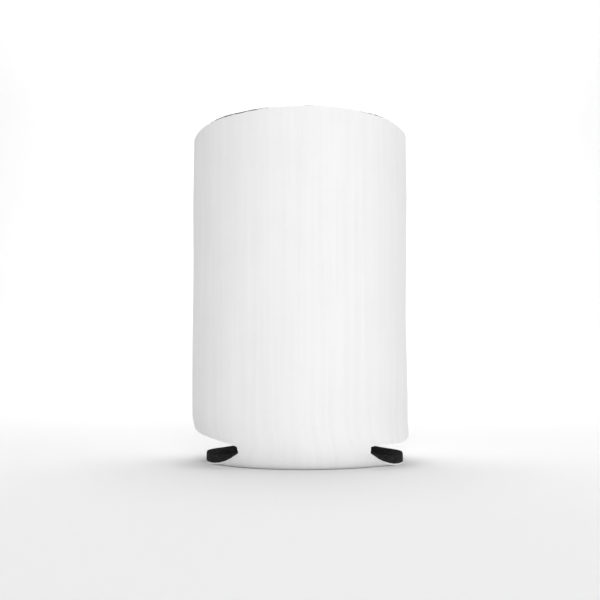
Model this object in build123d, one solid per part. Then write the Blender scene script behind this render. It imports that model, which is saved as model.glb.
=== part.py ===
from build123d import *
import os
from math import sqrt

# Collapsible foam can cooler: one die-cut laminate sheet, folded under to make the base and
# sewn up both sides. Millimetres, +Z towards the mouth, the sheet's front panel faces -Y.
# The origin is the middle of the base's underside.

# ---- driving dimensions ----
height = 108.0            # base underside to the rim's cut edge
bottom_radius = 35.6      # outside of the wall, just above the fold into the base
mouth_radius = 36.5       # outside of the wall at the rim, which opens a little
face_thickness = 0.5      # white knit face
foam_thickness = 2.6      # black foam core
lining_thickness = 0.3    # black knit backing

# ---- fold from wall to base ----
fold_reach = 6.0          # how far in from the wall the fold reaches
fold_height = 10.5        # how far up the wall the fold reaches

# ---- die-cut notches between wall and base, two on each side ----
neck_half_width = 19.5    # half the width that still joins the wall to the base
notch_end_height = 6.6    # wall's lower edge where the notch ends
notch_end_gap = 2.0       # opening of the notch at its blunt end
seam_end_height = 10.2    # wall's lower edge at the side seam
ear_reach = 38.0          # where the base's two straight edges on a side would meet
ear_round = 26.0          # large rounding between them, which makes the ear

# ---- side seams, turned to the inside ----
allowance = 5.0           # how far a turned-in edge stands inside the lining
seam_gap = 0.2            # between the two faces that the stitches hold together
stitch_inset = 1.2        # from the lining's wall to the seam line
stitch_length = 3.5
thread_radius = 0.22
thread_clearance = 0.02
stitch_count = 27

# ---- worked out ----
face_in = face_thickness
foam_in = face_in + foam_thickness
lining_in = foam_in + lining_thickness
layers = {
    "face_fabric": (0.0, face_in),
    "foam_core": (face_in, foam_in),
    "inner_lining": (foam_in, lining_in),
}
half_gap = seam_gap / 2
pocket_radius = bottom_radius - lining_in
allowance_end = pocket_radius - allowance
flat_radius = bottom_radius - fold_reach
clear = 5.0               # how far the cutting shapes run past the model


def fold_curve(inset):
    """A quarter ellipse in the RZ plane, from the base up to the wall, inset from the outside."""
    centre = (flat_radius, fold_height)
    return EllipticalCenterArc(centre, fold_reach - inset, fold_height - inset, 270, arc_size=90)


def outside_body(inset):
    """The whole cooler as a solid, with every outside face moved in by inset."""
    curve = fold_curve(inset)
    lines = [
        Line((0, inset), curve @ 0),
        curve,
        Line(curve @ 1, (mouth_radius - inset, height)),
        Line((mouth_radius - inset, height), (0, height)),
        Line((0, height), (0, inset)),
    ]
    profile = Plane.XZ * make_face(lines)
    return revolve(profile, Axis.Z, 360)


def sheet_layer(outer, inner):
    """One layer of the laminate between two insets, still without seams and notches."""
    pocket = outside_body(inner)
    above = Pos(0, 0, height + clear / 2) * Cylinder(mouth_radius - inner, clear)
    return outside_body(outer) - pocket - above


def box_between(low, high):
    """A box given by its lowest and highest corners."""
    size = [b - a for a, b in zip(low, high)]
    middle = [(a + b) / 2 for a, b in zip(low, high)]
    return Pos(*middle) * Box(*size)


def seam_slot(outer):
    """What a layer leaves free for the layers outside it, where the wall turns in at a seam."""
    reach = mouth_radius + clear
    half = half_gap + outer
    low = (-reach, -half, notch_end_height)
    high = (reach, half, height + clear)
    middle = box_between((-allowance_end, -half, notch_end_height), (allowance_end, half, height + clear))
    return box_between(low, high) - middle


def turned_edges(outer, inner):
    """The four turned-in edges of one layer: front and back panel, at both seams."""
    edges = None
    for side in (-1, 1):
        for panel in (-1, 1):
            xs = sorted((side * allowance_end, side * (mouth_radius + clear)))
            ys = sorted((panel * (half_gap + outer), panel * (half_gap + inner)))
            edge = box_between((xs[0], ys[0], seam_end_height), (xs[1], ys[1], height))
            edges = edge if edges is None else edges + edge
    return edges & outside_body(outer)


def neck_corner():
    """Where a notch ends, in plan: a point on the fold's outside face, notch_end_gap under the wall."""
    drop = 1 - (notch_end_height - notch_end_gap) / fold_height
    radius = flat_radius + fold_reach * sqrt(1 - drop * drop)
    return neck_half_width, sqrt(radius * radius - neck_half_width * neck_half_width)


def round_tip(outline):
    """The same face with the ear's tip rounded."""
    tip = outline.vertices().sort_by_distance((ear_reach, 0, 0))[0]
    return fillet(tip, ear_round)


def ear_half_width():
    """Half the ear's width where the base's edge comes nearest to the middle. Up to there the ear is flat."""
    corner_x, corner_y = neck_corner()
    run = ear_reach - corner_x
    return ear_reach * run * corner_y / (run * run + corner_y * corner_y)


def ear_plate(outer, inner, side):
    """The flat ear of one layer, between the two notches of a side."""
    half = ear_half_width()
    corner_x, corner_y = neck_corner()
    root_x = ear_reach - (ear_reach - corner_x) * half / corner_y
    outline = Polygon((0, -half), (root_x, -half), (ear_reach, 0), (root_x, half), (0, half), align=None)
    plate = Pos(0, 0, outer) * extrude(round_tip(outline), inner - outer, dir=(0, 0, 1))
    return plate if side > 0 else Rot(0, 0, 180) * plate


def under_wall():
    """Everything below the wall's lower edge and outside the neck, on the right-hand side."""
    far = mouth_radius + clear
    slope = (seam_end_height - notch_end_height) / (bottom_radius - neck_half_width)
    far_height = notch_end_height + slope * (far - neck_half_width)
    outline = Polygon(
        (neck_half_width, -clear), (far, -clear), (far, far_height), (neck_half_width, notch_end_height),
        align=None,
    )
    return Pos(0, far, 0) * extrude(Plane.XZ * outline, 2 * far, dir=(0, -1, 0))


def beyond_base():
    """Everything beyond the base's outline in plan, on the right-hand side."""
    far = mouth_radius + clear
    corner_x, corner_y = neck_corner()
    outline = Polygon(
        (corner_x, -corner_y), (ear_reach, 0), (corner_x, corner_y),
        (corner_x, far), (far, far), (far, -far), (corner_x, -far),
        align=None,
    )
    return Pos(0, 0, -clear) * extrude(round_tip(outline), 2 * far, dir=(0, 0, 1))


def notch_cutter(side):
    """The two notches of one side, with the space where the flat ear takes the place of the fold."""
    far = mouth_radius + clear
    half = ear_half_width()
    ear_space = box_between((0, -half, -clear), (far, half, far))
    cutter = under_wall() & (beyond_base() + ear_space)
    return cutter if side > 0 else Rot(0, 0, 180) * cutter


def stitch_places():
    """Heights of the needle holes, evenly spaced about the middle of the seam."""
    middle = (seam_end_height + height) / 2
    first = middle - stitch_length * (stitch_count - 1) / 2
    return [first + stitch_length * i for i in range(stitch_count)]


def stitch_x(side):
    """The seam line, on the turned-in edges just inside the wall."""
    return side * (pocket_radius - stitch_inset)


def needle_holes(side):
    """The holes through both turned-in edges."""
    depth = 2 * (half_gap + lining_in) + clear
    hole = Rot(90, 0, 0) * Cylinder(thread_radius + thread_clearance, depth)
    return [Pos(stitch_x(side), 0, z) * hole for z in stitch_places()]


def seam_thread(side, panel):
    """One thread of a lockstitch: a run along its panel's lining, with a leg to the middle at each hole."""
    surface = half_gap + lining_in + thread_radius
    places = stitch_places()
    run = Pos(0, surface, sum(places) / len(places)) * Cylinder(thread_radius, places[-1] - places[0])
    leg = Pos(0, surface / 2, 0) * Rot(90, 0, 0) * Cylinder(thread_radius, surface)
    legs = [Pos(0, 0, z) * leg for z in places]
    ends = [Pos(0, surface, z) * Sphere(thread_radius) for z in (places[0], places[-1])]
    turn = 0 if panel > 0 else 180
    return Pos(stitch_x(side), 0, 0) * Rot(0, 0, turn) * (run + legs + ends)


def laminate_layer(outer, inner):
    """One die-cut layer in its final shape."""
    layer = sheet_layer(outer, inner) - seam_slot(outer) + turned_edges(outer, inner)
    for side in (-1, 1):
        layer = layer - notch_cutter(side)
        layer = layer + ear_plate(outer, inner, side)
        layer = layer - needle_holes(side)
    return layer


def build():
    """All nodes by name."""
    nodes = {name: laminate_layer(*insets) for name, insets in layers.items()}
    for side, side_name in ((-1, "left"), (1, "right")):
        nodes[side_name + "_seam_needle_thread"] = seam_thread(side, -1)
        nodes[side_name + "_seam_bobbin_thread"] = seam_thread(side, 1)
    return nodes


os.makedirs("parts", exist_ok=True)
for name, shape in build().items():
    shape.label = name
    export_step(shape, "parts/" + name + ".step")
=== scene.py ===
from math import acos, asin, atan2, cos, hypot, pi, radians, sin, sqrt

import bpy
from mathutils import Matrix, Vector, noise


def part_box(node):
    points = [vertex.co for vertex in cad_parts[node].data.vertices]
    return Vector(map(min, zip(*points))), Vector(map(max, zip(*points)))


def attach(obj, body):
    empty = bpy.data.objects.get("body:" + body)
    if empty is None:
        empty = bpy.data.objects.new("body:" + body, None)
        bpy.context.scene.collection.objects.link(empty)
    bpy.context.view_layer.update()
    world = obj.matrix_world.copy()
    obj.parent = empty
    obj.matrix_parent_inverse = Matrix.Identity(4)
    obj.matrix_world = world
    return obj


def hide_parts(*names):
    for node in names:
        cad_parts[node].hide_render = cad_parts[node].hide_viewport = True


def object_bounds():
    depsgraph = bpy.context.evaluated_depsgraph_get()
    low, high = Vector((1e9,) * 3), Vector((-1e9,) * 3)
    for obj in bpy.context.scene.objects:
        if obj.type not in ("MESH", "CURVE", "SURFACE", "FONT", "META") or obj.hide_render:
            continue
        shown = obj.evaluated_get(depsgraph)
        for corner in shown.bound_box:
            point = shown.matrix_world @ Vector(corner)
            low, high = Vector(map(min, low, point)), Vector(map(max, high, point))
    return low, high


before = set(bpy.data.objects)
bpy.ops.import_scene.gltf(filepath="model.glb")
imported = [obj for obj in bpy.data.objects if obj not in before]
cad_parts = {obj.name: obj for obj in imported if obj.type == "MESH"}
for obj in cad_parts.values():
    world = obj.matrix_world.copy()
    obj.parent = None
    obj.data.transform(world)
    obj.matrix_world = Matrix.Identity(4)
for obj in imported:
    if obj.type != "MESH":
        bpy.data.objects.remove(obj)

# Looks of a collapsible foam can cooler: one laminate sheet of white knit, black foam and black
# backing, folded under to make the base and sewn up both sides. Lengths are in metres, angles in
# radians, and an angle round the cooler is counted from the front, -Y, towards +X.

cad_low, cad_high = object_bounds()
MM = 0.001

# ---- the cooler's size ----
HEIGHT = cad_high.z
MOUTH_RADIUS = (cad_high.x - cad_low.x) / 2
BOTTOM_RADIUS = 35.6 * MM

# ---- where each layer of the laminate ends, as a depth from the outside face ----
FACE_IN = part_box("foam_core")[0].z
FOAM_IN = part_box("inner_lining")[0].z
LINING_THICKNESS = 0.3 * MM
LINING_IN = FOAM_IN + LINING_THICKNESS

# ---- the fold from wall to base: a quarter of an ellipse ----
FOLD_REACH = 6.0 * MM
FOLD_HEIGHT = 10.5 * MM
FOLD_LENGTH = 13.2 * MM
FLAT_RADIUS = BOTTOM_RADIUS - FOLD_REACH

# ---- the notches, each between a neck and a side seam ----
NECK_HALF_WIDTH = 19.5 * MM
NOTCH_END_HEIGHT = 6.6 * MM
NOTCH_END_GAP = 2.0 * MM
SEAM_END_HEIGHT = 10.2 * MM
SEAM_END_LIFT = 0.7 * MM
SEAM_LIFT_FROM = 0.9 * BOTTOM_RADIUS

# ---- the base's ears: two straight edges that would meet at the reach, with a large rounding ----
EAR_REACH = 38.0 * MM
EAR_ROUND = 26.0 * MM
EAR_FLAT_FROM = radians(68)

# ---- the side seams (PUCKER is a share of the corner's radius) ----
TURNED_EDGE = 5.0 * MM
HALF_GAP = 0.1 * MM
OUTER_CORNER = 2.4 * MM
INNER_CORNER = 0.4 * MM
PUCKER = 0.05
STITCH_LENGTH = 3.5 * MM
STITCH_INSET = 1.2 * MM
STITCH_ARCH = 0.06 * MM
HOLE_EDGE = 0.05 * MM
HOLE_REACH = 0.55 * MM
THREAD_RADIUS = 0.22 * MM
CROSSING_HEIGHT = 1.2 * THREAD_RADIUS
ALLOWANCE_END = BOTTOM_RADIUS - LINING_IN - TURNED_EDGE
STITCH_X = BOTTOM_RADIUS - LINING_IN - STITCH_INSET

# ---- how finely the sheet is divided ----
NECK_COLUMNS = 44
SIDE_COLUMNS = 36
CORNER_COLUMNS = 9
EDGE_COLUMNS = 6
WALL_ROWS = 104
FOLD_ROWS = 16
BASE_ROWS = 48
WEB_COLUMNS = 24
FOAM_EDGE_STEPS = 5
STITCH_SAMPLES = 14
SHARP_ANGLE = radians(50)

# ---- how the soft sheet departs from its drawing ----
# Each pair is the stretch over which a departure comes in or dies out: shares of the cooler's height,
# distances to the side of its middle, or heights.
RIM_TILT = 0.5 * MM
TILTED = (0.4, 1.0)
RIM_WAVE = 0.25 * MM
RIM_WAVES_ROUND = 4.0
RIM_WAVES_LEVEL = 7.0
RIM_WAVED = (0.9, 1.0)
BASE_SHIFT = 1.3 * MM
LOW_PART = (4 * MM, 16 * MM)
RIGHT_PART = (18 * MM, 35 * MM)
RIGHT_CORNER_DROP = 2.4 * MM
DROP_BEGINS = (4.5 * MM, 8 * MM)
DROP_ENDS = (12 * MM, 45 * MM)
RIGHT_EAR_FORWARD = 4.0 * MM
EAR_DRAW_IN = 0.9 * MM
EAR_PART = (20 * MM, 33 * MM)

# ---- the wall's waves: an oval one, a three-lobed one that twists on its way up, and unevenness ----
OVAL_WAVE = 0.22 * MM
OVAL_START = 0.7
LOBED_WAVE = 0.16 * MM
LOBED_START = -1.2
LOBED_TWIST = 2.0
UNEVENNESS = 0.35 * MM
UNEVEN_ROUND = 2.2
UNEVEN_UP = 3.1
WAVED = (0.08, 0.3)

# ---- the faint upright ripples of the front ----
# RIPPLED_ROUND is in cosines of the angle from the ripples' middle.
RIPPLE_DEPTH = 0.05 * MM
RIPPLE_SPACING = radians(7.4)
RIPPLE_DRIFT = 0.04
RIPPLE_DRIFT_UP = 4.0
DRIFT_PLACE = Vector((3.0, 5.0, 0.0))
RIPPLE_MIDDLE = radians(12)
RIPPLED_ROUND = (0.9, 1.0)
RIPPLED_UP = (0.35, 0.75)

# ---- the cut edges: how far each layer stands out, and the size of its unevenness ----
# FOAM_CORNER is the share of it that is left at the foam edge's two corners.
FRAY_MEAN = 0.04 * MM
FRAY = 0.16 * MM
FRAY_GRAIN = 0.9 * MM
FOAM_PROUD = 0.12 * MM
FOAM_PROUD_AT_RIM = 0.34 * MM
FOAM_PROUD_AT_SEAM = 0.44 * MM
FOAM_CORNER = 0.45
FOAM_WAVE = 0.2 * MM
FOAM_WAVE_SIZE = 9 * MM
FOAM_GRAIN = 0.06 * MM
FOAM_GRAIN_SIZE = 0.8 * MM
FOAM_RIM = (0.85 * HEIGHT, 0.95 * HEIGHT)
LEFT_OF_FRONT = (2 * MM, 18 * MM)
RIGHT_OF_FRONT = (12 * MM, 26 * MM)
LINING_EDGE = -0.05 * MM

# ---- the knit's relief: how far its loops lean, and how deep they are beside the ridges ----
LOOP_LEAN = 1.6
LOOP_DEPTH = 0.35
SHEEN_ROUGHNESS = 0.45

# ---- the surround: how strongly it lights, and how bright it is seen ----
SURROUND_LIGHT = 0.28
SURROUND_SEEN = 0.85

# ---- the camera ----
LENS_MM = 45.48
SENSOR_MM = 36.0
CAMERA_SHIFT_UP = 0.02
CAMERA_DISTANCE = 256 * MM
CAMERA_HEIGHT = 22.8 * MM
CAMERA_TILT = radians(6)
CLIP_START = 10 * MM


def smooth(x, start, end):
    """0 before start, 1 after end, smooth between."""
    t = min(max((x - start) / (end - start), 0.0), 1.0)
    return t * t * (3 - 2 * t)


def add_object(name, data):
    """A new object in the scene."""
    made = bpy.data.objects.new(name, data)
    bpy.context.scene.collection.objects.link(made)
    return made


# ---- the sheet's shape ----


def wall_radius(z):
    """The outside face's radius at a height above the fold."""
    share = (z - FOLD_HEIGHT) / (HEIGHT - FOLD_HEIGHT)
    return BOTTOM_RADIUS + (MOUTH_RADIUS - BOTTOM_RADIUS) * max(share, 0.0)


def fold_angle(z):
    """The fold's angle at a height of its outside face: 0 at the base, a quarter turn at the wall."""
    return acos(1 - min(z / FOLD_HEIGHT, 1.0))


def fold_point(turn, angle, depth):
    """A point in the fold, at a turn round its ellipse and an angle round the cooler."""
    radius = FLAT_RADIUS + (FOLD_REACH - depth) * sin(turn)
    height = FOLD_HEIGHT - (FOLD_HEIGHT - depth) * cos(turn)
    return Vector((radius * sin(angle), -radius * cos(angle), height))


# The corner of a notch beside the neck, and the base's straight edge from there towards the point at
# EAR_REACH. FOOT_ANGLE is where that line comes nearest to the middle, and EAR_ANGLE is where the ear's
# rounding, about a point EAR_CENTRE from the middle, takes over from it.
NOTCH_TURN = fold_angle(NOTCH_END_HEIGHT - NOTCH_END_GAP)
CORNER_RADIUS = FLAT_RADIUS + FOLD_REACH * sin(NOTCH_TURN)
NECK_ANGLE = asin(NECK_HALF_WIDTH / CORNER_RADIUS)
EDGE_RUN = EAR_REACH - NECK_HALF_WIDTH
EDGE_DEPTH = CORNER_RADIUS * cos(NECK_ANGLE)
EDGE_LENGTH = hypot(EDGE_RUN, EDGE_DEPTH)
EDGE_NEAREST = EAR_REACH * EDGE_DEPTH / EDGE_LENGTH
FOOT_ANGLE = atan2(EDGE_DEPTH, EDGE_RUN)
EAR_CENTRE = EAR_REACH - EAR_ROUND * EDGE_LENGTH / EDGE_DEPTH
EAR_ANGLE = atan2(EAR_CENTRE + EAR_ROUND * EDGE_DEPTH / EDGE_LENGTH, EAR_ROUND * EDGE_RUN / EDGE_LENGTH)


def base_edge_radius(angle):
    """How far the base's die-cut edge is from the middle: a straight stretch, then the rounded ear."""
    if angle < EAR_ANGLE:
        return EDGE_NEAREST / cos(FOOT_ANGLE - angle)
    return EAR_CENTRE * sin(angle) + sqrt(EAR_ROUND**2 - (EAR_CENTRE * cos(angle)) ** 2)


def base_edge_height(angle):
    """How high the base's edge stands: it comes down from the neck and lies flat along the ear."""
    share = min((angle - NECK_ANGLE) / (EAR_FLAT_FROM - NECK_ANGLE), 1.0)
    return (NOTCH_END_HEIGHT - NOTCH_END_GAP) * (1 - share) ** 2


def corner_radius(depth):
    """The sheet is round outside where it turns in at a seam, and tight inside."""
    return OUTER_CORNER + (INNER_CORNER - OUTER_CORNER) * sqrt(depth / LINING_IN)


def seam_corner(z, depth):
    """Centre and radius of the rounding between the wall and the turned-in edge, puckered by the stitches."""
    round_by = corner_radius(depth) * (1 + PUCKER * sin(2 * pi * z / STITCH_LENGTH))
    across = HALF_GAP + depth + round_by
    along = sqrt((wall_radius(z) - depth - round_by) ** 2 - across**2)
    return along, -across, round_by


def lower_edge(x):
    """Height of the wall's die-cut lower edge beside the neck."""
    slope = (SEAM_END_HEIGHT - NOTCH_END_HEIGHT) / (BOTTOM_RADIUS - NECK_HALF_WIDTH)
    rise = slope * max(x - NECK_HALF_WIDTH, 0.0)
    return NOTCH_END_HEIGHT + rise + SEAM_END_LIFT * smooth(x, SEAM_LIFT_FROM, BOTTOM_RADIUS)


# A panel's columns, from the middle of the front to the end of a turned-in edge.
HALF_NECK = NECK_COLUMNS // 2
LAST_SIDE = HALF_NECK + SIDE_COLUMNS
LAST_CORNER = LAST_SIDE + CORNER_COLUMNS
LAST_COLUMN = LAST_CORNER + EDGE_COLUMNS
# The fold's row where the base's edge starts, below the gap of the notch.
NOTCH_ROW = round(FOLD_ROWS * (1 - NOTCH_TURN / fold_angle(NOTCH_END_HEIGHT)))


def neck_angle(column):
    """The angle round the cooler of a column within the neck."""
    return NECK_ANGLE * column / HALF_NECK


def wall_point(column, row, depth):
    """A point on the right-hand half of the front panel's wall."""
    along = min(column, LAST_SIDE) - HALF_NECK
    if column <= HALF_NECK:
        low = NOTCH_END_HEIGHT
    else:
        low = lower_edge(BOTTOM_RADIUS * sin(NECK_ANGLE + (pi / 2 - NECK_ANGLE) * along / SIDE_COLUMNS))
    z = HEIGHT - (HEIGHT - low) * row / WALL_ROWS
    centre_x, centre_y, round_by = seam_corner(max(z, FOLD_HEIGHT), depth)
    if column <= HALF_NECK:
        angle = neck_angle(column)
    else:
        side_end = atan2(centre_x, -centre_y)
        angle = NECK_ANGLE + (side_end - NECK_ANGLE) * along / SIDE_COLUMNS
    if column <= LAST_SIDE and z < FOLD_HEIGHT:
        return fold_point(fold_angle(z), angle, depth)
    if column <= LAST_SIDE:
        radius = wall_radius(z) - depth
        return Vector((radius * sin(angle), -radius * cos(angle), z))
    if column <= LAST_CORNER:
        start = atan2(centre_y, centre_x)
        turn = start + (pi / 2 - start) * (column - LAST_SIDE) / CORNER_COLUMNS
        return Vector((centre_x + round_by * cos(turn), centre_y + round_by * sin(turn), z))
    share = (column - LAST_CORNER) / EDGE_COLUMNS
    return Vector((centre_x + (ALLOWANCE_END - centre_x) * share, -(HALF_GAP + depth), z))


def fold_row_turn(row):
    """The turn round the fold's ellipse of a row below the wall."""
    return fold_angle(NOTCH_END_HEIGHT) * (1 - row / FOLD_ROWS)


def web_angle(column):
    """The angle round the cooler of a column between the neck and the ear's tip."""
    return NECK_ANGLE + (pi / 2 - NECK_ANGLE) * column / WEB_COLUMNS


def web_point(column, row, depth):
    """A point between the flat round and the base's edge, on part of an ellipse that ends at that edge."""
    angle = web_angle(column)
    turn = NOTCH_TURN * (FOLD_ROWS - row) / (FOLD_ROWS - NOTCH_ROW)
    reach = (base_edge_radius(angle) - FLAT_RADIUS) / sin(NOTCH_TURN)
    rise = base_edge_height(angle) / (1 - cos(NOTCH_TURN))
    inward = rise / FOLD_HEIGHT * sin(turn)
    upward = reach / FOLD_REACH * cos(turn)
    share = depth / hypot(inward, upward)
    radius = FLAT_RADIUS + reach * sin(turn) - share * inward
    return Vector((radius * sin(angle), -radius * cos(angle), rise * (1 - cos(turn)) + share * upward))


def base_columns():
    """The flat round's columns from left to right: what each one joins at front and back, and its x."""
    right = [("fold", c, FLAT_RADIUS * sin(neck_angle(c))) for c in range(1, HALF_NECK + 1)]
    right += [("web", c, FLAT_RADIUS * sin(web_angle(c))) for c in range(1, WEB_COLUMNS + 1)]
    left = [(part, c, -x) for part, c, x in reversed(right)]
    return left + [("fold", 0, 0.0)] + right


BASE = base_columns()


def base_point(column, row, depth):
    """A point of the flat round."""
    x = BASE[column][2]
    half = sqrt(FLAT_RADIUS**2 - x * x)
    return Vector((x, half * (2 * row / BASE_ROWS - 1), depth))


# ---- the sheet's cells ----
# A vertex is named by (part, panel, side, column, row). The parts are wall, fold, web and base, the
# panel is 1 in front and -1 behind, and the side is 1 on the right and -1 on the left.


def same_vertex(key):
    """The one name of a vertex that several parts of the sheet share."""
    part, panel, side, column, row = key
    if part == "base" and (row in (0, BASE_ROWS) or column in (0, len(BASE) - 1)):
        part, number, x = BASE[column]
        return same_vertex((part, 1 if row == 0 else -1, 1 if x > 0 else -1, number, FOLD_ROWS))
    if part == "web" and column == 0:
        return same_vertex(("fold", panel, side, HALF_NECK, row))
    if part == "web" and column == WEB_COLUMNS:
        return ("web", 1, side, column, row)
    if part == "fold" and row == 0:
        part = "wall"
        row = WALL_ROWS
    if column == 0:
        side = 1
    return (part, panel, side, column, row)


def cell_blocks():
    """Each part of the sheet as (part, panel, side, columns, first row, last row)."""
    for panel in (1, -1):
        for side in (1, -1):
            yield "wall", panel, side, LAST_COLUMN, 0, WALL_ROWS
            yield "fold", panel, side, HALF_NECK, 0, FOLD_ROWS
            yield "web", panel, side, WEB_COLUMNS, NOTCH_ROW, FOLD_ROWS
    yield "base", 1, 1, len(BASE) - 1, 0, BASE_ROWS


def sheet_cells():
    """All vertices' names in order, and the faces as lists of vertex numbers."""
    numbers = {}
    faces = []
    for part, panel, side, columns, first, last in cell_blocks():
        flip = panel * side < 0
        for column in range(columns):
            for row in range(first, last):
                corners = [(column, row), (column + 1, row), (column + 1, row + 1), (column, row + 1)]
                keys = [same_vertex((part, panel, side, c, r)) for c, r in corners]
                face = []
                for key in keys:
                    number = numbers.setdefault(key, len(numbers))
                    if number not in face:
                        face.append(number)
                if len(face) > 2:
                    faces.append(face[::-1] if flip else face)
    return list(numbers), faces


def point_of(key, depth):
    """Where a vertex is in the drawing, at a depth into the laminate."""
    part, panel, side, column, row = key
    if part == "base":
        return base_point(column, row, depth)
    if part == "wall":
        p = wall_point(column, row, depth)
    elif part == "fold":
        p = fold_point(fold_row_turn(row), neck_angle(column), depth)
    else:
        p = web_point(column, row, depth)
    return Vector((side * p.x, panel * p.y, p.z))


def swell_at(angle, up):
    """How far the wall bows in or out: long soft waves and a little unevenness."""
    oval = OVAL_WAVE * sin(2 * angle + OVAL_START) * sin(pi * up)
    lobed = LOBED_WAVE * sin(3 * angle + LOBED_START + LOBED_TWIST * up)
    place = Vector((UNEVEN_ROUND * sin(angle), UNEVEN_ROUND * cos(angle), UNEVEN_UP * up))
    return (oval + lobed + UNEVENNESS * noise.noise(place)) * smooth(up, *WAVED)


def ripple_at(angle, up):
    """Faint upright ripples in the upper part of the front."""
    drift = RIPPLE_DRIFT * noise.noise(DRIFT_PLACE + Vector((0.0, 0.0, RIPPLE_DRIFT_UP * up)))
    front = smooth(cos(angle - RIPPLE_MIDDLE), *RIPPLED_ROUND) * smooth(up, *RIPPLED_UP)
    return RIPPLE_DEPTH * sin(2 * pi * (angle + drift) / RIPPLE_SPACING) * front


def settle(p):
    """The drawing's point moved to where the soft, slightly uneven sheet lies."""
    up = p.z / HEIGHT
    right = smooth(p.x, *RIGHT_PART)
    low = 1 - smooth(p.z, *LOW_PART)
    angle = atan2(p.x, -p.y)
    radius = hypot(p.x, p.y) + swell_at(angle, up) + ripple_at(angle, up)
    rim_place = Vector((RIM_WAVES_ROUND * sin(angle), RIM_WAVES_ROUND * cos(angle), RIM_WAVES_LEVEL))
    tilt = RIM_TILT * (p.x / BOTTOM_RADIUS) * smooth(up, *TILTED)
    wave = RIM_WAVE * noise.noise(rim_place) * smooth(up, *RIM_WAVED)
    drop = RIGHT_CORNER_DROP * right * smooth(p.z, *DROP_BEGINS) * (1 - smooth(p.z, *DROP_ENDS))
    draw_in = EAR_DRAW_IN * (smooth(p.x, *EAR_PART) - smooth(-p.x, *EAR_PART))
    x = radius * sin(angle) + (BASE_SHIFT - draw_in) * low
    y = -radius * cos(angle) - RIGHT_EAR_FORWARD * right * low
    return Vector((x, y, p.z + tilt + wave - drop))


def cloth_place(key):
    """Place on the flat cut, in metres: across the sheet and along it, for the weave."""
    part, panel, side, column, row = key
    p = point_of(key, 0.0)
    if part in ("base", "web"):
        return p.x, p.y
    if part == "wall" and column > LAST_SIDE:
        side_end = point_of((part, panel, side, LAST_SIDE, row), 0.0)
        extra = (p - side_end).length
        p = side_end
    else:
        extra = 0.0
    angle = atan2(abs(p.x), abs(p.y))
    across = FLAT_RADIUS * sin(angle)
    wall = smooth(p.z, 0.0, FOLD_HEIGHT)
    round_edge = FLAT_RADIUS * cos(angle)
    along = round_edge + (FLAT_RADIUS - round_edge) * wall
    along += FOLD_LENGTH * min(p.z / FOLD_HEIGHT, 1.0) + max(p.z - FOLD_HEIGHT, 0.0)
    across += (BOTTOM_RADIUS * angle - across) * wall
    return side * (across + extra), -panel * along


KEYS, CELLS = sheet_cells()
PLACES = [cloth_place(key) for key in KEYS]


def outline_edges():
    """The sheet's die-cut edges, each as it runs in its own face."""
    seen = {}
    for face in CELLS:
        for a, b in zip(face, face[1:] + face[:1]):
            seen[(a, b)] = face
    return [(a, b, face) for (a, b), face in seen.items() if (b, a) not in seen]


OUTLINE = outline_edges()


# ---- the layers' meshes ----


def edge_directions(points):
    """For each vertex on the outline, the direction out of the sheet, in the sheet's own surface."""
    out = {}
    for a, b, face in OUTLINE:
        middle = sum((points[i] for i in face), Vector()) / len(face)
        along = (points[b] - points[a]).normalized()
        away = (points[a] + points[b]) / 2 - middle
        away -= along * away.dot(along)
        for i in (a, b):
            out[i] = out.get(i, Vector()) + away.normalized()
    return {i: v.normalized() for i, v in out.items()}


def layer_mesh(name, outer, inner, steps, edge_shape):
    """A closed mesh of the layer between two depths.

    Its cut edge is divided into steps, and stands out by edge_shape(share of the depth, point).
    """
    outside = [settle(point_of(key, outer)) for key in KEYS]
    inside = [settle(point_of(key, inner)) for key in KEYS]
    count = len(KEYS)
    verts = outside + inside
    places = PLACES + PLACES
    rings = {}
    for i, direction in edge_directions(outside).items():
        verts[i] = outside[i] + direction * edge_shape(0.0, outside[i])
        verts[count + i] = inside[i] + direction * edge_shape(1.0, inside[i])
        rings[i] = [i]
        for step in range(1, steps):
            share = step / steps
            p = outside[i].lerp(inside[i], share)
            deep = share * (inner - outer)
            rings[i].append(len(verts))
            verts.append(p + direction * edge_shape(share, p))
            places.append((PLACES[i][0] + deep, PLACES[i][1] + deep))
        rings[i].append(count + i)
    faces = [list(face) for face in CELLS]
    faces += [[count + i for i in reversed(face)] for face in CELLS]
    for a, b, _ in OUTLINE:
        for step in range(steps):
            faces.append([rings[b][step], rings[a][step], rings[a][step + 1], rings[b][step + 1]])
    mesh = bpy.data.meshes.new(name)
    mesh.from_pydata([tuple(v) for v in verts], [], faces)
    uv = mesh.uv_layers.new(name="cloth")
    for loop in mesh.loops:
        across, along = places[loop.vertex_index]
        uv.data[loop.index].uv = (across / MM, along / MM)
    mesh.update()
    mesh.shade_smooth()
    mesh.set_sharp_from_angle(angle=SHARP_ANGLE)
    return add_object(name, mesh)


def frayed_edge(share, p):
    """A knife-cut knit edge: slightly ragged."""
    return FRAY_MEAN + FRAY * noise.noise(p / FRAY_GRAIN)


def foam_edge(share, p):
    """Cut foam swells a little past the cloth on either side of it, most at the rim towards the seams."""
    rim = smooth(p.z, *FOAM_RIM)
    towards_seam = smooth(-p.x, *LEFT_OF_FRONT) + smooth(p.x, *RIGHT_OF_FRONT)
    proud = FOAM_PROUD + (FOAM_PROUD_AT_RIM + FOAM_PROUD_AT_SEAM * towards_seam) * rim
    proud += FOAM_WAVE * noise.noise(p / FOAM_WAVE_SIZE) * rim
    proud += FOAM_GRAIN * noise.noise(p / FOAM_GRAIN_SIZE)
    return proud * (FOAM_CORNER + (1 - FOAM_CORNER) * sqrt(sin(pi * share)))


def lining_edge(share, p):
    """The backing ends a little short of the foam, and evenly."""
    return LINING_EDGE


# ---- materials ----


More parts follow.
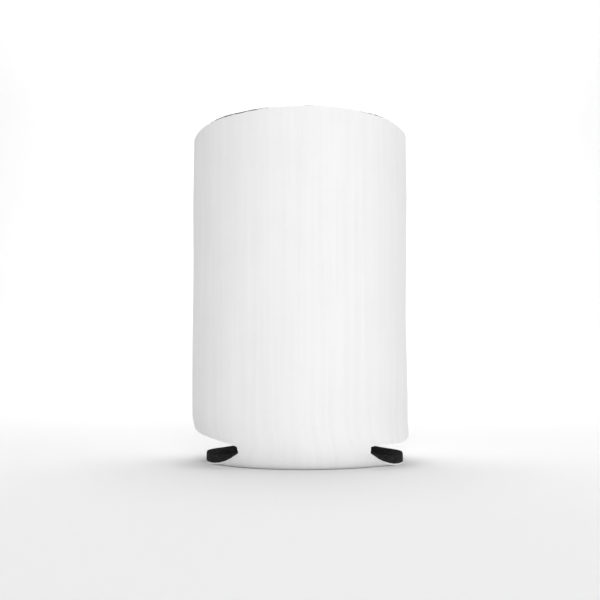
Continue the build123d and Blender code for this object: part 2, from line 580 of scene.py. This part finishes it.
def new_material(name, colour, roughness, sheen=0.0, specular=0.25):
    """A material with its Principled shader, ready for textures."""
    material = bpy.data.materials.new(name)
    material.use_nodes = True
    tree = material.node_tree
    shader = tree.nodes["Principled BSDF"]
    shader.inputs["Base Color"].default_value = (*colour, 1)
    shader.inputs["Roughness"].default_value = roughness
    shader.inputs["Specular IOR Level"].default_value = specular
    shader.inputs["Sheen Weight"].default_value = sheen
    shader.inputs["Sheen Roughness"].default_value = SHEEN_ROUGHNESS
    return material, tree, shader


def add(tree, kind, links=(), **values):
    """A node with its properties set and its inputs linked: links are (input, output socket)."""
    node = tree.nodes.new(kind)
    for key, value in values.items():
        setattr(node, key, value)
    for key, socket in links:
        tree.links.new(socket, node.inputs[key])
    return node


def maths(tree, operation, a, b=None):
    """A Math node on sockets or numbers; returns its output."""
    node = add(tree, "ShaderNodeMath", operation=operation)
    for number, value in enumerate((a, b)):
        if value is None:
            continue
        if isinstance(value, (int, float)):
            node.inputs[number].default_value = value
        else:
            tree.links.new(value, node.inputs[number])
    return node.outputs[0]


def cloth_axes(tree):
    """The place on the flat cut, then its two directions, in millimetres."""
    place = add(tree, "ShaderNodeUVMap", uv_map="cloth").outputs["UV"]
    parts = add(tree, "ShaderNodeSeparateXYZ", [("Vector", place)])
    return place, parts.outputs["X"], parts.outputs["Y"]


def noise_texture(tree, place, scale, detail, roughness=0.5):
    """An even noise; returns its value."""
    made = add(tree, "ShaderNodeTexNoise", [("Vector", place)])
    made.inputs["Scale"].default_value = scale
    made.inputs["Detail"].default_value = detail
    made.inputs["Roughness"].default_value = roughness
    return made.outputs["Fac"]


def stretched_noise(tree, place, across, along, detail, roughness):
    """Noise with a scale of its own, per millimetre, along each direction of the cloth."""
    mapped = add(tree, "ShaderNodeMapping", [("Vector", place)])
    mapped.inputs["Scale"].default_value = (across, along, 1.0)
    return noise_texture(tree, mapped.outputs[0], 1.0, detail, roughness)


def knit_height(tree, across, along, wale, course):
    """Relief of a plain knit: columns of V-shaped loops, a wale apart, with rows a course apart."""
    column = maths(tree, "MULTIPLY", across, pi / wale)
    ridge = maths(tree, "ABSOLUTE", maths(tree, "SINE", column))
    slant = maths(tree, "MULTIPLY", ridge, LOOP_LEAN)
    rows = maths(tree, "ADD", maths(tree, "MULTIPLY", along, 2 * pi / course), slant)
    loops = maths(tree, "MULTIPLY", maths(tree, "SINE", rows), LOOP_DEPTH)
    return maths(tree, "ADD", ridge, loops)


def bump(tree, shader, heights):
    """Chains bumps of (height, strength, distance) into the shader's normal."""
    normal = None
    for height, strength, distance in heights:
        node = add(tree, "ShaderNodeBump", [("Height", height)])
        node.inputs["Strength"].default_value = strength
        node.inputs["Distance"].default_value = distance
        if normal is not None:
            tree.links.new(normal, node.inputs["Normal"])
        normal = node.outputs["Normal"]
    tree.links.new(normal, shader.inputs["Normal"])


def grey(level, blue=None):
    """A grey, with its own blue where it isn't quite neutral."""
    return (level, level, level if blue is None else blue)


def colour_by(tree, shader, factor, dark, light, low=0.0, high=1.0):
    """Base colour from dark to light, as the factor goes from low to high."""
    ramp = add(tree, "ShaderNodeMapRange", [("Value", factor)])
    ramp.inputs["From Min"].default_value = low
    ramp.inputs["From Max"].default_value = high
    mix = add(tree, "ShaderNodeMix", data_type="RGBA")
    mix.inputs["A"].default_value = (*dark, 1)
    mix.inputs["B"].default_value = (*light, 1)
    tree.links.new(ramp.outputs[0], mix.inputs["Factor"])
    tree.links.new(mix.outputs["Result"], shader.inputs["Base Color"])


def face_material():
    """White brushed polyester knit: fine columns of loops, faint lengthwise streaks, soft sheen."""
    material, tree, shader = new_material("white_knit", grey(0.86), roughness=0.88, sheen=0.15)
    place, across, along = cloth_axes(tree)
    knit = knit_height(tree, across, along, wale=0.62, course=0.5)
    streaks = stretched_noise(tree, place, across=0.55, along=0.012, detail=4.0, roughness=0.6)
    fibres = stretched_noise(tree, place, across=6.0, along=4.0, detail=3.0, roughness=0.7)
    mottle = stretched_noise(tree, place, across=0.09, along=0.06, detail=2.0, roughness=0.5)
    tone = maths(tree, "ADD", maths(tree, "MULTIPLY", streaks, 0.5), maths(tree, "MULTIPLY", mottle, 0.2))
    tone = maths(tree, "ADD", tone, maths(tree, "MULTIPLY", fibres, 0.3))
    colour_by(tree, shader, tone, dark=grey(0.82, 0.822), light=grey(0.895, 0.893), low=0.3, high=0.7)
    bump(tree, shader, [(streaks, 0.25, 0.25 * MM), (knit, 0.35, 0.06 * MM), (fibres, 0.25, 0.05 * MM)])
    return material


def foam_material():
    """Black fine-pored foam, painted darker in its pores and greyer on its cut cell walls: painted shade and
    highlight, with random grain.
    """
    material, tree, shader = new_material("black_foam", grey(0.02), roughness=0.95, specular=0.12)
    place = add(tree, "ShaderNodeTexCoord").outputs["Object"]
    cells = add(tree, "ShaderNodeTexVoronoi", [("Vector", place)])
    cells.inputs["Scale"].default_value = 1 / (0.45 * MM)
    pores = cells.outputs["Distance"]
    grain = noise_texture(tree, place, scale=1 / (1.6 * MM), detail=4.0)
    # Painted shade and highlight: the colour is darker in the pores and lighter on the raised cell walls,
    # mixed with a random grain.
    tone = maths(tree, "MULTIPLY", pores, grain)
    colour_by(tree, shader, tone, dark=grey(0.006), light=grey(0.03), low=0.05, high=0.4)
    bump(tree, shader, [(pores, 0.8, 0.2 * MM), (grain, 0.4, 0.2 * MM)])
    return material


def lining_material():
    """Thin black knit backing."""
    black = grey(0.01, 0.011)
    material, tree, shader = new_material("black_knit", black, roughness=0.95, sheen=0.02, specular=0.05)
    place, across, along = cloth_axes(tree)
    knit = knit_height(tree, across, along, wale=0.7, course=0.55)
    fibres = stretched_noise(tree, place, across=5.0, along=4.0, detail=3.0, roughness=0.7)
    colour_by(tree, shader, fibres, dark=grey(0.004, 0.005), light=grey(0.014, 0.015), low=0.3, high=0.7)
    bump(tree, shader, [(knit, 0.5, 0.08 * MM), (fibres, 0.3, 0.05 * MM)])
    return material


def thread_material():
    """Black twisted polyester thread, painted lighter on the twist's crests and darker in its grooves:
    painted highlight and shade.
    """
    material, tree, shader = new_material("black_thread", grey(0.02, 0.021), roughness=0.6, sheen=0.25)
    place = add(tree, "ShaderNodeTexCoord").outputs["Object"]
    wave = add(tree, "ShaderNodeTexWave", [("Vector", place)], wave_type="BANDS", bands_direction="DIAGONAL")
    wave.inputs["Scale"].default_value = 1 / (1.6 * MM)
    wave.inputs["Distortion"].default_value = 1.0
    twist = wave.outputs["Fac"]
    # Painted highlight and shade: the colour follows the twist's relief, lighter on its crests and darker in
    # its grooves.
    colour_by(tree, shader, twist, dark=grey(0.01, 0.011), light=grey(0.045, 0.047))
    bump(tree, shader, [(twist, 0.6, 0.08 * MM)])
    return material


# ---- the pieces ----


def stand_for(piece, node, material):
    """Gives a piece its material and puts it in the place of a CAD node."""
    piece.data.materials.append(material)
    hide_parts(node)
    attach(piece, "root")


def make_layers():
    """The three layers of the laminate, each in place of its CAD node."""
    face = layer_mesh("face_cloth", 0.0, FACE_IN, 1, frayed_edge)
    foam = layer_mesh("foam_sheet", FACE_IN, FOAM_IN, FOAM_EDGE_STEPS, foam_edge)
    lining = layer_mesh("lining_cloth", FOAM_IN, LINING_IN, 1, lining_edge)
    stand_for(face, "face_fabric", face_material())
    stand_for(foam, "foam_core", foam_material())
    stand_for(lining, "inner_lining", lining_material())


def thread_path(side, panel, low, high):
    """A stitched thread's centre line: along the lining, dipping into each needle hole."""
    surface = HALF_GAP + LINING_IN + THREAD_RADIUS
    places = []
    for stitch in range(round((high - low) / STITCH_LENGTH)):
        for sample in range(STITCH_SAMPLES):
            share = sample / STITCH_SAMPLES
            z = low + (stitch + share) * STITCH_LENGTH
            from_hole = min(share, 1 - share) * STITCH_LENGTH
            dip = 1 - smooth(from_hole, HOLE_EDGE, HOLE_REACH)
            arch = STITCH_ARCH * sin(pi * share)
            y = surface + arch - (surface - CROSSING_HEIGHT) * dip**2
            places.append(settle(Vector((side * STITCH_X, -panel * y, z))))
    return places


def make_thread(name, node, material):
    """One thread of a side seam's lockstitch, as a tube."""
    low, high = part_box(node)
    side = 1 if low.x > 0 else -1
    panel = 1 if low.y + high.y < 0 else -1
    curve = bpy.data.curves.new(name, "CURVE")
    curve.dimensions = "3D"
    curve.bevel_depth = THREAD_RADIUS
    curve.bevel_resolution = 3
    curve.use_fill_caps = True
    points = thread_path(side, panel, low.z + THREAD_RADIUS, high.z - THREAD_RADIUS)
    spline = curve.splines.new("POLY")
    spline.points.add(len(points) - 1)
    for target, p in zip(spline.points, points):
        target.co = (*p, 1)
    stand_for(add_object(name, curve), node, material)


def make_threads():
    """Needle thread on the front panel's side and bobbin thread on the back's, at both seams."""
    material = thread_material()
    for side_name in ("left", "right"):
        for kind in ("needle", "bobbin"):
            node = f"{side_name}_seam_{kind}_thread"
            make_thread(f"{side_name}_{kind}_stitches", node, material)


# ---- floor, light and camera ----


def make_stage():
    """A pale floor that curves up into a backdrop."""
    half_width = 2.0
    front = -1.5
    bend_start = 0.6
    bend_radius = 0.6
    top = 2.4
    steps = 24
    profile = [(front, 0.0), (bend_start, 0.0)]
    for step in range(1, steps + 1):
        turn = pi / 2 * step / steps
        profile.append((bend_start + bend_radius * sin(turn), bend_radius * (1 - cos(turn))))
    profile.append((bend_start + bend_radius, top))
    verts = [(x, y, z) for y, z in profile for x in (-half_width, half_width)]
    faces = [(2 * i, 2 * i + 1, 2 * i + 3, 2 * i + 2) for i in range(len(profile) - 1)]
    mesh = bpy.data.meshes.new("studio_sweep")
    mesh.from_pydata(verts, [], faces)
    mesh.shade_smooth()
    paper, _, _ = new_material("pale_paper", grey(0.88), roughness=0.95)
    mesh.materials.append(paper)
    add_object("studio_sweep", mesh)


def area_light(name, power, size, place, target):
    """A square light that faces its target and that the camera doesn't see."""
    data = bpy.data.lights.new(name, "AREA")
    data.shape = "SQUARE"
    data.size = size
    data.energy = power
    light = add_object(name, data)
    light.location = place
    light.rotation_euler = (Vector(place) - Vector(target)).to_track_quat("Z", "Y").to_euler()
    light.visible_camera = False


def make_lights():
    """Soft studio light: a front light, a weak ceiling, a fill from the right and the backdrop's light."""
    middle = (0.0, 0.0, HEIGHT / 2)
    area_light("front", power=20.0, size=0.85, place=(0.1, -1.9, 0.72), target=middle)
    area_light("ceiling", power=5.0, size=3.0, place=(0.0, -0.4, 2.5), target=(0.0, -0.4, 0.0))
    area_light("fill", power=0.9, size=0.5, place=(0.8, -0.4, 0.3), target=middle)
    area_light("backdrop", power=12.5, size=1.3, place=(0.0, 0.55, 1.3), target=(0.0, 1.2, 0.3))


def make_world():
    """An even pale surround. It is seen brighter than it lights, as a lit studio wall would be."""
    world = bpy.data.worlds.new("studio")
    world.use_nodes = True
    tree = world.node_tree
    lighting = tree.nodes["Background"]
    lighting.inputs["Color"].default_value = (1, 1, 1, 1)
    lighting.inputs["Strength"].default_value = SURROUND_LIGHT
    seen = add(tree, "ShaderNodeBackground")
    seen.inputs["Color"].default_value = (*grey(SURROUND_SEEN), 1)
    path = add(tree, "ShaderNodeLightPath")
    mix = add(tree, "ShaderNodeMixShader", [("Fac", path.outputs["Is Camera Ray"])])
    tree.links.new(lighting.outputs[0], mix.inputs[1])
    tree.links.new(seen.outputs[0], mix.inputs[2])
    tree.links.new(mix.outputs[0], tree.nodes["World Output"].inputs["Surface"])
    bpy.context.scene.world = world


def make_camera():
    """A camera in front, a little above the base, looking slightly up."""
    data = bpy.data.cameras.new("camera")
    data.sensor_width = SENSOR_MM
    data.lens = LENS_MM
    data.shift_y = CAMERA_SHIFT_UP
    data.clip_start = CLIP_START
    camera = add_object("camera", data)
    camera.location = (0.0, -CAMERA_DISTANCE, CAMERA_HEIGHT)
    camera.rotation_euler = (pi / 2 + CAMERA_TILT, 0, 0)
    bpy.context.scene.camera = camera


make_layers()
make_threads()
make_stage()
make_world()
make_lights()
make_camera()
bpy.context.scene.view_settings.view_transform = "Standard"
